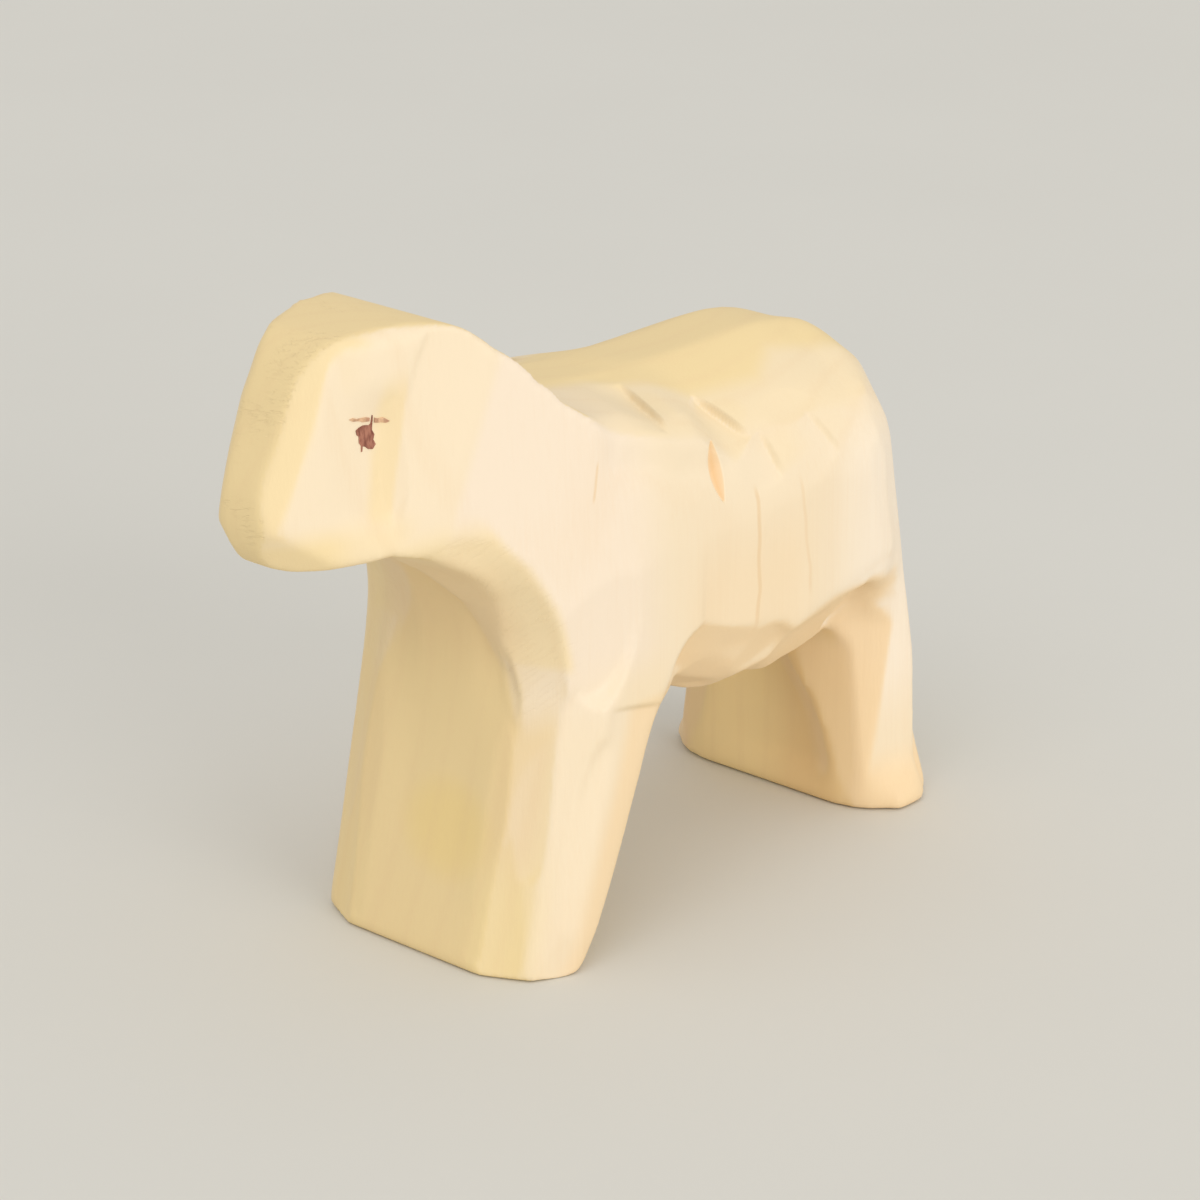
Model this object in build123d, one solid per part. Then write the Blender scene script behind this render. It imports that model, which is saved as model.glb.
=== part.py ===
from build123d import *
from math import atan, cos, radians, sin
import os

# Overall sizes in millimetres. X runs to the nose, Y to the sheep's left, Z up.
length = 92.7             # nose to hind heels
height = 69.3             # sole to crown
thickness = 33.0          # across the flanks

# Heights of the side outline. The head and trunk hang from the crown, and the legs fill up the height.
head_depth = 22.0         # jaw below the crown
back_drop = 12.3          # dip behind the neck below the crown
hip_drop = 13.9           # back above the hind legs below the crown
seat_drop = 17.0          # where the rump turns into the hind legs, below the hips
throat_drop = 8.8         # where the chest starts to curl forward, below the jaw
hollow_drop = 21.3        # deepest point of the chest below the jaw
belly_depth = 38.0        # lowest point of the belly below the dip of the back
arch_rise = 5.0           # highest point behind the front legs above the belly
groin_rise = 3.2          # where the belly meets the hind legs above the belly
calf_drop = 3.0           # rear of the front legs below the belly

# Places of the side outline along X
muzzle_reach = 21.7       # nose in front of the front toes
front_foot = 11.5         # sole of the front legs
hind_foot = 14.2          # sole of the hind legs
heel_slant = 4.8          # hind heels behind the rump
chest_hollow = 5.6        # chest behind the front toes
throat_hollow = 4.4       # throat behind the front toes
calf_slope = 8.0          # calf behind the front heels
arch_reach = 16.5         # top of the arch behind the front heels
belly_offset = 9.0        # lowest belly point behind the middle of the arch
groin_reach = 1.2         # groin in front of the hind toes
withers_back = 20.0       # dip of the back behind the front toes

# Side outline of the head, from the nose and from the crown
jaw_back = 12.7           # rear end of the jaw behind the nose
chin_round = 4.6          # chin behind the nose
chin_drop = 0.3           # chin below the jaw
lip_rise = 5.0            # foremost point above the jaw
nose_back = 2.5           # middle of the nose behind its foremost point
nose_rise = 12.4          # middle of the nose above the jaw
forehead_back = 4.8       # forehead behind the nose
forehead_drop = 4.6       # forehead below the crown
brow_back = 9.3           # front of the crown behind the nose
brow_drop = 0.3           # front of the crown below its top
crown_back = 15.7         # top of the crown behind the nose
poll_back = 21.2          # rear of the crown behind the nose
poll_drop = 0.9           # rear of the crown below its top
neck_back = 29.7          # middle of the neck behind the nose
neck_rise = 4.8           # middle of the neck above the dip of the back
curl_back = 22.7          # curl under the throat behind the nose
curl_drop = 5.2           # curl under the throat below the jaw

# Side outline of the rump. The croup and the tail point are shares of the way between the seat and the hips.
loin_drop = 1.0           # loin below the dip of the back
hip_front = 13.0          # hips in front of the rump
croup_in = 0.35
croup_down = 0.265
tail_in = 0.1
tail_down = 0.588

# How the outline is drawn in from the middle to the flanks
ridge_width = 7.0         # strip along the back with the full height
inner_facet = 4.8         # facet next to the middle band with the full belly, chest and legs
outer_facet = 2.7         # facet next to the flank
inner_share = 0.42        # part of each bevel that lies in the inner facet
ridge_bevel = 2.4
throat_bevel = 2.0
chest_bevel = 5.5
calf_bevel = 3.8
belly_bevel = 7.8
back_bevel = 3.5
hip_bevel = 7.5
rump_bevel = 9.0
heel_bevel = 6.5
hind_toe_bevel = 2.6
groin_bevel = 0.8

# Knife cuts that narrow the head
ear_back = 12.8           # ear step behind the nose
ear_width = 14.4          # across the head behind the ear steps
face_width = 12.0         # across the face in front of the ear steps
cheek_rise = 4.7          # cheeks flare below this height above the jaw
nose_width = 5.8          # sawn strip on the nose
nose_cut_back = 2.35      # nose cut behind the nose
nose_cut_rise = 11.3      # nose cut above the jaw
brow_width = 7.2          # sawn strip on the brow
brow_cut_back = 6.3       # brow cut behind the nose
brow_cut_drop = 3.0       # brow cut below the crown
crown_width = 13.0        # sawn strip on the crown
crown_cut_drop = 0.4      # crown cut below the crown
chin_width = 6.4          # sawn strip on the chin
chin_cut_back = 2.1       # chin cut behind the nose
chin_cut_rise = 1.8       # chin cut above the jaw
jaw_width = 12.8          # across the lower edge of the jaw
jaw_cut_back = 7.7        # jaw cut behind the nose
jaw_cut_rise = 0.2        # jaw cut above the jaw

# Ways that the knife cuts of the head face
neck_facing = (0.3, 1, 0.1)
face_facing = (0.115, 1, 0.1)
cheek_facing = (0.115, 1, 0.35)
ear_facing = (1.7, 2, 0.33)
nose_facing = (0.65, 0.7, 0.29)
brow_facing = (0.567, 0.722, 0.397)
crown_facing = (0.25, 0.75, 0.6)
chin_facing = (0.6, 0.65, -0.5)
jaw_facing = (0.25, 0.6, -0.8)
throat_facing = (1, 0, 0.3)

# Knife cut that opens each groin and bevels the front of each hind leg
groin_cut_ahead = 8.2     # groin cut in front of the hind toes
groin_cut_rise = 10.3     # groin cut above the belly at the flank
groin_cut_reach = 18.0    # front limit of the groin cut, in front of the hind toes
shin_cut_back = 0.9       # bevel of the hind leg behind the hind toes
shin_cut_in = 3.9         # bevel of the hind leg inside the flank
groin_facing = (-0.26, 1.36, -1)
shin_facing = (0.79, 0.61, 0)

# Row of fleece cuts from the neck to the hip
fleece_cuts = 4
fleece_start = 23.2       # first cut behind the front toes
fleece_pitch = 8.1        # from one cut to the next
fleece_in = 5.8           # first cut inside the flank
fleece_step = 1.9         # each next cut further out
fleece_below = 3.1        # first cut below the dip of the back
fleece_fall = 2.8         # each next cut further down
fleece_tilt = 33.0        # degrees from level at the first cut
fleece_turn = 13.0        # degrees more at each next cut
fleece_depth = 0.7
fleece_run = 7.5          # length of each cut
fleece_radius = 8.0       # hollow of the blade

# Narrow slit in each flank
slit_back = 28.4          # behind the front toes
slit_below = 8.3          # below the dip of the back
slit_radius = 7.0         # sweep of the blade
slit_width = 1.3
slit_depth = 0.9
slit_facing = (1, 0, 0.2)

# Painted eyes
eye_back = 11.0           # middle of the eye behind the nose
eye_rise = 12.1           # middle of the eye above the jaw
dab_width = 1.9
dab_height = 2.4
dab_corner = 0.6
lid_length = 3.6
lid_width = 0.4
lid_tilt = 12.0           # degrees down towards the ear
lid_gap = 0.15            # bare wood between the dab and the lid line
paint = 0.12              # thickness of the paint

jaw_height = height - head_depth
back_height = height - back_drop
hip_height = height - hip_drop
belly_height = back_height - belly_depth
nose_x = length / 2
heels_x = -length / 2
toe_x = nose_x - muzzle_reach
heel_x = toe_x - front_foot
hind_toe_x = heels_x + hind_foot
rump_x = heels_x + heel_slant
belly_x = (heel_x + hind_toe_x) / 2 - belly_offset
head_middle = (jaw_height + height) / 2


def outline(share, rounded):
    drop = ridge_bevel * rounded
    throat = throat_bevel * rounded + chest_bevel * share * 0.8
    chest = chest_bevel * share
    calf = calf_bevel * share
    belly = belly_bevel * share
    back = back_bevel * share + drop
    hip = hip_bevel * share + drop
    rump = rump_bevel * share + drop * 0.6
    head_x = nose_x - chest

    toe = (toe_x - chest, 0)
    jaw = (head_x - jaw_back, jaw_height + chest / 2)
    chin = (head_x - chin_round, jaw_height - chin_drop + chest / 2)
    lip = (head_x, jaw_height + lip_rise)
    brow = (head_x - brow_back, height - brow_drop - chest)
    withers = (toe_x - withers_back, back_height - back)
    hips = (rump_x + hip_front, hip_height - hip)
    seat = (rump_x + rump, hip_height - seat_drop)
    seat_to_hips = (hips[0] - seat[0], hips[1] - seat[1])
    hind_heel = (heels_x + heel_bevel * share, 0)
    hind_toe = (hind_toe_x - hind_toe_bevel * share, 0)
    groin = (hind_toe_x + groin_reach + groin_bevel * share, belly_height + groin_rise + belly * 0.8)
    front_heel = (heel_x + calf, 0)

    chest_line = Spline(
        toe,
        (toe_x - chest_hollow - chest, jaw_height - hollow_drop),
        (toe_x - throat_hollow - throat, jaw_height - throat_drop),
        (nose_x - curl_back - throat, jaw_height - curl_drop + chest * 0.3),
        jaw,
        tangents=[(-0.25, 1), (1, 0.25)],
    )
    jaw_line = Line(jaw, chin)
    chin_line = Spline(chin, lip, tangents=[(1, 0.1), (0, 1)])
    nose_line = Spline(
        lip,
        (head_x - nose_back, jaw_height + nose_rise),
        (head_x - forehead_back, height - forehead_drop - chest / 2),
        brow,
        tangents=[(0, 1), (-1, 0.35)],
    )
    crown_line = Spline(
        brow,
        (head_x - crown_back, height - chest),
        (head_x - poll_back, height - poll_drop - chest),
        (nose_x - neck_back - chest / 2, back_height + neck_rise - back),
        withers,
        tangents=[(-1, 0.1), (-1, -0.12)],
    )
    back_line = Spline(
        withers,
        (belly_x, back_height - loin_drop - hip),
        hips,
        (seat[0] + croup_in * seat_to_hips[0], hips[1] - croup_down * seat_to_hips[1]),
        (seat[0] + tail_in * seat_to_hips[0], hips[1] - tail_down * seat_to_hips[1]),
        seat,
        tangents=[(-1, -0.12), (-0.12, -1)],
    )
    hind_line = Line(seat, hind_heel)
    hind_sole = Line(hind_heel, hind_toe)
    hind_front = Line(hind_toe, groin)
    belly_line = Spline(
        groin,
        (belly_x, belly_height + belly),
        (heel_x - arch_reach + calf * 0.6, belly_height + arch_rise + belly * 0.95),
        (heel_x - calf_slope + calf, belly_height - calf_drop),
        front_heel,
    )
    front_sole = Line(front_heel, toe)
    edges = [chest_line, jaw_line, chin_line, nose_line, crown_line, back_line,
             hind_line, hind_sole, hind_front, belly_line, front_sole]
    return make_face(Curve() + edges)


def at_side(face, y):
    return Plane.XZ.offset(-y) * face


def carve_blank():
    stations = [
        (ridge_width / 2, outline(0, 0)),
        (thickness / 2 - outer_facet - inner_facet, outline(0, 1)),
        (thickness / 2 - outer_facet, outline(inner_share, 1)),
        (thickness / 2, outline(1, 1)),
    ]
    ridge = extrude(at_side(stations[0][1], 0), ridge_width / 2, both=True)
    layers = []
    for (near, inner), (far, outer) in zip(stations, stations[1:]):
        layer = loft([at_side(inner, near), at_side(outer, far)], ruled=True)
        layers += [layer, mirror(layer, about=Plane.XZ)]
    return ridge + layers


def beyond(point, facing):
    reach = 2 * length
    sheet = Plane(origin=point, z_dir=facing)
    return sheet * Box(reach, reach, reach, align=(Align.CENTER, Align.CENTER, Align.MIN))


def face_point(back, rise):
    x = nose_x - back
    z = jaw_height + rise
    slide = face_facing[0] * (x - nose_x + ear_back) + face_facing[2] * (z - head_middle)
    return (x, face_width / 2 - slide, z)


def head_cuts():
    ear_x = nose_x - ear_back
    neck = beyond((ear_x, ear_width / 2, head_middle), neck_facing)
    face = beyond(face_point(ear_back, cheek_rise), face_facing)
    cheek = beyond(face_point(ear_back, cheek_rise), cheek_facing)
    ear_step = beyond((ear_x, face_width / 2, head_middle), ear_facing)
    nose = beyond((nose_x - nose_cut_back, nose_width / 2, jaw_height + nose_cut_rise), nose_facing)
    brow = beyond((nose_x - brow_cut_back, brow_width / 2, height - brow_cut_drop), brow_facing)
    crown = beyond((nose_x - crown_back, crown_width / 2, height - crown_cut_drop), crown_facing)
    throat = beyond((nose_x - jaw_back, 0, jaw_height), throat_facing)
    chin = beyond((nose_x - chin_cut_back, chin_width / 2, jaw_height + chin_cut_rise), chin_facing)
    jaw = beyond((nose_x - jaw_cut_back, jaw_width / 2, jaw_height + jaw_cut_rise), jaw_facing)
    return [neck, face & cheek & ear_step, nose, brow, crown, chin & throat, jaw & throat]


def groin_cut():
    side = thickness / 2
    groin = beyond((hind_toe_x + groin_cut_ahead, side, belly_height + groin_cut_rise), groin_facing)
    shin = beyond((hind_toe_x - shin_cut_back, side - shin_cut_in, 0), shin_facing)
    rear = beyond((hind_toe_x + groin_cut_reach, 0, 0), (-1, 0, 0))
    return groin & shin & rear


def fleece_cut(index):
    tilt = radians(fleece_tilt + fleece_turn * index)
    slope = atan(fleece_depth / fleece_run)
    forward = Vector(1, 0, 0)
    outward = Vector(0, sin(tilt), cos(tilt))
    place = Vector(
        toe_x - fleece_start - fleece_pitch * index,
        thickness / 2 - fleece_in + fleece_step * index,
        back_height - fleece_below - fleece_fall * index,
    )
    along = forward * cos(slope) + outward * sin(slope)
    lift = outward * cos(slope) - forward * sin(slope)
    middle = place - outward * fleece_depth + lift * fleece_radius
    blade = Cylinder(fleece_radius, fleece_run, align=(Align.CENTER, Align.CENTER, Align.MIN))
    return Plane(origin=middle, z_dir=along) * blade


def flank_slit():
    middle = (toe_x - slit_back, thickness / 2 + slit_radius - slit_depth, back_height - slit_below)
    blade = Cone(slit_radius, slit_radius - slit_depth, slit_width)
    return Plane(origin=middle, z_dir=slit_facing) * blade


def carve_body():
    cuts = head_cuts() + [fleece_cut(index) for index in range(fleece_cuts)] + [groin_cut(), flank_slit()]
    solid = carve_blank()
    for cutter in cuts:
        solid = solid - [cutter, mirror(cutter, about=Plane.XZ)]
    return solid


def paint_eye():
    face = Plane(origin=face_point(eye_back, eye_rise), x_dir=(-1, face_facing[0], 0), z_dir=face_facing)
    dab = extrude(face * RectangleRounded(dab_width, dab_height, dab_corner), paint)
    lid_rise = dab_height / 2 + lid_gap + lid_width / 2
    lid = extrude(face * Pos(0, lid_rise) * SlotOverall(lid_length, lid_width, -lid_tilt), paint)
    return {"eye_dab": dab, "eye_lid_line": lid}


nodes = {"carved_body": carve_body()}
for name, film in paint_eye().items():
    nodes["left_" + name] = film
    nodes["right_" + name] = mirror(film, about=Plane.XZ)

os.makedirs("parts", exist_ok=True)
for name, solid in nodes.items():
    solid.label = name
    export_step(solid, "parts/" + name + ".step")
    box = solid.bounding_box()
    print(name, solid.is_valid, len(solid.solids()), round(solid.volume, 3), box.min, box.max)
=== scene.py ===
import math

import bmesh
import bpy
import numpy as np
from mathutils import Matrix, Vector


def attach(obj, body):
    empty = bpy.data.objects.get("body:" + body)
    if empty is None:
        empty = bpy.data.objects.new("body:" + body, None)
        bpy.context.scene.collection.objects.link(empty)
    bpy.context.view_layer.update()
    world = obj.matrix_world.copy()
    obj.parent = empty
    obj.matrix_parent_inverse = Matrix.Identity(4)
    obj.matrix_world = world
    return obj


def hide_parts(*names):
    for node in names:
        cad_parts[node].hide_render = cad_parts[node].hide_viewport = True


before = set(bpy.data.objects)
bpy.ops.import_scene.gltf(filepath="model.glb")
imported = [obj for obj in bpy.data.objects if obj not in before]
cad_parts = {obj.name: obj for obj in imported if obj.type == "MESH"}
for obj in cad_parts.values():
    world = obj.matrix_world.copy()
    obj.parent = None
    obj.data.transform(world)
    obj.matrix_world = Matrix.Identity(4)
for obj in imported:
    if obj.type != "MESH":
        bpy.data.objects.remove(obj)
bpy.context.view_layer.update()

mm = 0.001  # every size below is in millimetres unless it says otherwise
sides = (1, -1)  # the sheep's left and right


# Shader sockets that take part in plain sums

class Wire:
    def __init__(self, finish, socket):
        self.finish = finish
        self.socket = socket

    def sum(self, operation, first, second=0.0):
        return self.finish.add("ShaderNodeMath", {"operation": operation}, {0: first, 1: second})

    def __add__(self, other):
        return self.sum("ADD", self, other)

    def __radd__(self, other):
        return self.sum("ADD", other, self)

    def __sub__(self, other):
        return self.sum("SUBTRACT", self, other)

    def __rsub__(self, other):
        return self.sum("SUBTRACT", other, self)

    def __mul__(self, other):
        return self.sum("MULTIPLY", self, other)

    def __rmul__(self, other):
        return self.sum("MULTIPLY", other, self)

    def __truediv__(self, other):
        return self.sum("DIVIDE", self, other)

    def __pow__(self, other):
        return self.sum("POWER", self, other)

    def __abs__(self):
        return self.sum("ABSOLUTE", self)

    def sine(self):
        return self.sum("SINE", self)

    def root(self):
        return self.sum("SQRT", self)

    def step(self, low, high):  # 0 at low, 1 at high, smooth between
        settings = {"interpolation_type": "SMOOTHSTEP"}
        inputs = {"Value": self, "From Min": low, "From Max": high}
        return self.finish.add("ShaderNodeMapRange", settings, inputs)

    def other(self, name):
        return Wire(self.finish, self.socket.node.outputs[name])


class Finish:
    def __init__(self, name):
        self.material = bpy.data.materials.new(name)
        self.material.use_nodes = True
        self.tree = self.material.node_tree
        self.tree.nodes.clear()

    def add(self, kind, settings=None, inputs=None, output=0):
        node = self.tree.nodes.new(kind)
        for key, value in (settings or {}).items():
            setattr(node, key, value)
        for key, value in (inputs or {}).items():
            if isinstance(value, Wire):
                self.tree.links.new(value.socket, node.inputs[key])
            else:
                node.inputs[key].default_value = value
        return Wire(self, node.outputs[output]) if node.outputs else None

    def mix(self, share, first, second):
        return self.add("ShaderNodeMix", {"data_type": "RGBA"}, {0: share, 6: first, 7: second}, 2)

    def place(self):  # where a point is, in millimetres
        where = self.add("ShaderNodeTexCoord", output="Object")
        return self.stretch(where, (1 / mm, 1 / mm, 1 / mm))

    def stretch(self, vector, by):
        return self.add("ShaderNodeVectorMath", {"operation": "MULTIPLY"}, {0: vector, 1: by})

    def joined(self, x, y, z):
        return self.add("ShaderNodeCombineXYZ", None, {0: x, 1: y, 2: z})

    def noise(self, vector, by, detail=2.0, rough=0.5):
        inputs = {"Vector": self.stretch(vector, by), "Scale": 1.0, "Detail": detail, "Roughness": rough}
        return self.add("ShaderNodeTexNoise", None, inputs)

    def mark(self, name):  # a value that the carving wrote on its points
        return self.add("ShaderNodeAttribute", {"attribute_name": name}, output="Fac")

    def bump(self, height, distance, strength, under=None):
        inputs = {"Height": height, "Distance": distance * mm, "Strength": strength}
        if under:
            inputs["Normal"] = under
        return self.add("ShaderNodeBump", None, inputs)

    def close(self, inputs):
        surface = self.add("ShaderNodeBsdfPrincipled", None, inputs)
        self.add("ShaderNodeOutputMaterial", None, {"Surface": surface})
        return self.material


# Shares: a zone is a list of values with the limits between which each fades in

def unit(vector):
    vector = np.asarray(vector, float)
    return vector / np.linalg.norm(vector)


def mirror(side):  # takes a place on the left to the side that is asked for
    return np.array((1, side, 1))


def fromTable(table, value):  # straight lines between the pairs of a table
    return np.interp(value, *zip(*table))


def ramp(low, high, value):
    return np.clip((value - low) / (high - low), 0, 1)


def within(value, span):
    return (value > span[0]) & (value < span[1])


def smoothStep(low, high, value):  # 0 at low, 1 at high, and a hard edge where they are the same
    if isinstance(value, Wire):
        return value.step(low, high)
    if low == high:
        return np.where(value > low, 1.0, 0.0)
    t = ramp(low, high, value)
    return t * t * (3 - 2 * t)


def zone(axes, limits):  # a value that is named without limits counts as it is
    shares = [smoothStep(*fade, axes[name]) if fade else axes[name] for name, *fade in limits]
    return math.prod(shares[1:], start=shares[0])


def shareOf(axes, zones):  # zones that add up, each with its own share
    shares = [zone(axes, limits) * share for share, limits in zones]
    return sum(shares[1:], shares[0])


# Carving: an even mesh of the blank whose points are cut back by blades

dice = np.random.default_rng(11)
blank = {
    "voxel": 0.45,
    "softenShare": 0.5,
    "softenPasses": 2,
    "fleece": [("x", -30, -27), ("x", 12, 9), ("side", 6, 8), ("z", 41, 43)],
    "fleecePasses": 320,
    "feet": [("z", 5, 1.5)],
    "feetPasses": 12,
}
knife = {
    "reach": 3.0,  # how far off the surface a cut still takes wood
    "climb": 4.0,  # how steeply a stroke leaves the wood past its edge
    "skirt": 2,  # how far out a stroke still cuts, in half sizes squared
    "endRound": 3,  # how suddenly a stop cut ends
    "wallWidth": 0.4,
    # where the painted shade on a stop cut's wall lies, and how it fades
    "wallMiddle": -0.35,
    "wallFade": (0.42, 0.12),
    "tuftFade": (-7, -2),
}


class Carving:
    def __init__(self, node, voxel):
        self.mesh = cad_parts[node].data.copy()
        self.read()
        self.evenOut(voxel)

    def evenOut(self, voxel):
        self.write()
        rough = bpy.data.objects.new("rough", self.mesh)
        bpy.context.scene.collection.objects.link(rough)
        even = rough.modifiers.new("even", "REMESH")
        even.mode = "VOXEL"
        even.voxel_size = voxel * mm
        graph = bpy.context.evaluated_depsgraph_get()
        self.mesh = bpy.data.meshes.new_from_object(rough.evaluated_get(graph))
        bpy.data.objects.remove(rough)
        self.read()

    def read(self):
        count = len(self.mesh.vertices)
        flat = np.empty(count * 3)
        self.mesh.vertices.foreach_get("co", flat)
        self.points = flat.reshape(-1, 3) / mm
        ends = np.empty(len(self.mesh.edges) * 2, np.int64)
        self.mesh.edges.foreach_get("vertices", ends)
        self.edges = ends.reshape(-1, 2)
        self.degree = np.bincount(ends, minlength=count)

    def write(self):
        self.mesh.vertices.foreach_set("co", (self.points * mm).ravel())
        self.mesh.update()

    def axes(self):
        x, y, z = self.points.T
        return {"x": x, "y": y, "z": z, "side": np.abs(y)}

    def normals(self):
        self.write()
        flat = np.empty(len(self.points) * 3)
        self.mesh.vertex_normals.foreach_get("vector", flat)
        return flat.reshape(-1, 3)

    def around(self, values):  # mean of each point's neighbours
        a, b = self.edges.T
        count = len(values)
        total = np.empty_like(values)
        for k in range(values.shape[1]):
            total[:, k] = np.bincount(a, values[b, k], count) + np.bincount(b, values[a, k], count)
        return total / self.degree[:, None]

    def soften(self, passes, where=1.0, share=blank["softenShare"]):
        where = np.reshape(where, (-1, 1))
        for turn in range(passes):
            self.points += (self.around(self.points) - self.points) * share * where

    def nearLine(self, start, end, reach):  # points near a line or its mirror line
        near = np.zeros(len(self.points), bool)
        for side in sides:
            first, last = start * mirror(side), end * mirror(side)
            way = last - first
            share = np.clip((self.points - first) @ way / (way @ way), 0, 1)
            near |= np.linalg.norm(self.points - first - share[:, None] * way, axis=1) < reach
        return near

    def refine(self, near):  # finer faces where a cut is narrow
        self.write()
        fine = bmesh.new()
        fine.from_mesh(self.mesh)
        edges = [edge for edge in fine.edges if near[edge.verts[0].index] and near[edge.verts[1].index]]
        bmesh.ops.subdivide_edges(fine, edges=edges, cuts=1, use_grid_fill=True)
        fine.to_mesh(self.mesh)
        fine.free()
        self.read()

    def touch(self, place):  # nearest point of the surface
        apart = self.points - place
        return self.points[np.argmin((apart * apart).sum(1))]

    def pare(self, place, facing, along, size, depth, gentle=False):
        # one stroke: a hollow as deep as depth that leaves a flat face at its half length and half width
        # a gentle one takes no more than its depth off a rounded place
        facing = unit(facing)
        along = unit(np.asarray(along, float) - np.dot(along, facing) * facing)
        across = np.cross(facing, along)
        apart = self.points - self.touch(np.asarray(place, float))
        height = apart @ facing
        u, v = apart @ along / size[0], apart @ across / size[1]
        r = u * u + v * v
        if gentle:
            height = height - height[(r < 1) & (np.abs(height) < knife["reach"])].max()
        blade = depth * (r - 1) + knife["climb"] * np.clip(r - 1, 0, None)
        hit = (height > blade) & (height < knife["reach"]) & (r < knife["skirt"])
        self.points[hit] -= (height - blade)[hit, None] * facing

    def chop(self, start, end, facing, forward, depth, run):
        # a stop cut: a steep wall along the line from start to end, and a floor that runs out ahead of it
        start, end = self.touch(np.asarray(start, float)), self.touch(np.asarray(end, float))
        line = unit(end - start)
        facing = unit(facing - np.dot(facing, line) * line)
        ahead = np.cross(line, facing)
        if np.dot(ahead, forward) < 0:
            ahead = -ahead
        half = np.linalg.norm(end - start) / 2
        apart = self.points - (start + end) / 2
        s, t = apart @ line / half, apart @ ahead
        fall = np.where(t > 0, 1 - t / run, 1 + t / knife["wallWidth"])
        reach = np.clip(1 - np.abs(s) ** knife["endRound"], 0, 1)
        reach = reach * (np.abs(apart @ facing) < knife["reach"])
        self.points -= (depth * reach * np.clip(fall, 0, 1))[:, None] * facing
        # painted shade on the wall of the stop cut: a dark band along the middle of the wall
        onWall = ramp(*knife["wallFade"], np.abs(t - knife["wallMiddle"]))
        onTuft = smoothStep(*knife["tuftFade"], t) * (t < 0)
        self.wall = np.maximum(self.wall, depth * reach ** 2 * onWall)
        self.tuft = np.maximum(self.tuft, depth * reach * onTuft)

    def shave(self, cut, side, where):  # one flat cut over all that stands proud
        place, facing = (vector * mirror(side) for vector in cut)
        facing = unit(facing)
        proud = np.clip((self.points - place) @ facing, 0, knife["reach"])
        self.points -= (proud * where)[:, None] * facing

    def keep(self, name, values):
        layer = self.mesh.attributes.new(name, "FLOAT", "POINT")
        layer.data.foreach_set("value", values.astype(np.float32))


# Bevel that runs from the jaw round the chest to the front leg: its edges, outside to inside
jawOuter = [(28.2, 9.9, 48.1), (26.0, 10.5, 48.1), (24.0, 11.2, 47.25)]
chestOuter = [(22.5, 11.8, 45.95), (20.3, 12.7, 43.5), (19.0, 13.3, 41.2), (17.8, 13.9, 38.8),
              (16.8, 14.5, 35.7), (15.9, 15.0, 32.0), (15.95, 14.1, 30.2), (16.7, 13.6, 26.9)]
chestMiddle = [(31.5, 8.8, 47.2), (27.6, 8.6, 44.9), (25.2, 9.0, 43.5), (23.0, 9.2, 41.9),
               (20.9, 8.95, 39.4), (19.4, 8.2, 34.9), (19.0, 9.0, 30.1), (19.1, 10.3, 24.8)]
chestInner = [(29.8, 3.6, 45.2), (27.5, 3.0, 43.8), (25.6, 3.6, 42.6), (23.2, 3.8, 40.6),
              (20.2, 4.7, 37.7), (18.6, 5.6, 34.5), (18.2, 7.2, 31.0)]
chestEdge = np.array(chestOuter[5::-1])  # the part of the outer edge that climbs without a turn
bands = {
    "outer": (jawOuter + chestOuter, chestMiddle, (0.85, 0.45, -0.20), 0.12),
    "inner": (chestMiddle[:7], chestInner, (0.55, 0.35, -0.75), 0.35),
}
bandFade = {
    "start": (-1.2, 1.2),
    "end": (1.5, -2.5),
    "reach": 3.5,
    "offMiddle": 1.5,
}


def onBand(points, side, outer, inner, facing, spread):
    # how far points stand off the strip between two edge lines, and how much they belong to it
    facing = unit(facing) * mirror(side)
    outer, inner = np.array(outer) * mirror(side), np.array(inner) * mirror(side)
    way = outer[-1] - outer[0] + inner[-1] - inner[0]
    way = unit(way - (way @ facing) * facing)
    across = np.cross(facing, way)
    s, w, h = points @ way, points @ across, points @ facing
    w0, h0 = (np.interp(s, outer @ way, outer @ axis) for axis in (across, facing))
    w1, h1 = (np.interp(s, inner @ way, inner @ axis) for axis in (across, facing))
    share = (w - w0) / (w1 - w0)
    lift = h0 + (h1 - h0) * np.clip(share, 0, 1) - h
    low = max((outer @ way)[0], (inner @ way)[0])
    high = min((outer @ way)[-1], (inner @ way)[-1])
    belongs = smoothStep(-spread, 0, share) * smoothStep(1 + spread, 1, share)
    belongs = belongs * smoothStep(*bandFade["start"], s - low) * smoothStep(*bandFade["end"], s - high)
    near = (np.abs(lift) < bandFade["reach"]) * (points[:, 1] * side > bandFade["offMiddle"])
    return lift, belongs * near, facing


# Planes of the head and neck: a place on each and the way it looks
planes = {
    "face": ((37.3, 5.5, 58.5), (0.113, 0.989, 0.099)),
    "ear": ((28.1, 8.7, 59.3), (0.287, 0.953, 0.096)),
    "crown": ((30.65, 6.5, 68.9), (0.25, 0.75, 0.6)),
    "brow": ((40.05, 3.6, 66.3), (0.567, 0.722, 0.397)),
    "nape": ((21.9, 11.2, 53.8), (0.286, 0.953, 0.095)),
    "neck": ((21.9, 11.2, 53.8), (0.285, 0.954, 0.095)),
}


def planeSide(name, x, z):  # how far a plane stands off the middle
    place, look = planes[name]
    return place[1] - (look[0] * (x - place[0]) + look[2] * (z - place[2])) / look[1]


def planeFront(name, side, z):  # how far forward a plane stands
    place, look = planes[name]
    return place[0] - ((side - place[1]) * look[1] + (z - place[2]) * look[2]) / look[0]


browFill = {
    "front": 38.0,  # from here to the back, the face turns into the plane of the ear
    "back": 30.0,
    "zone": [("z", 60, 65), ("side", 3, 3)],
    "span": (29.5, 38.5),
    "most": 1.5,
}


def browSide(x, z):
    face, ear = planeSide("face", x, z), planeSide("ear", browFill["back"], z)
    return face + ramp(browFill["front"], browFill["back"], x) * (ear - face)


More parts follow.
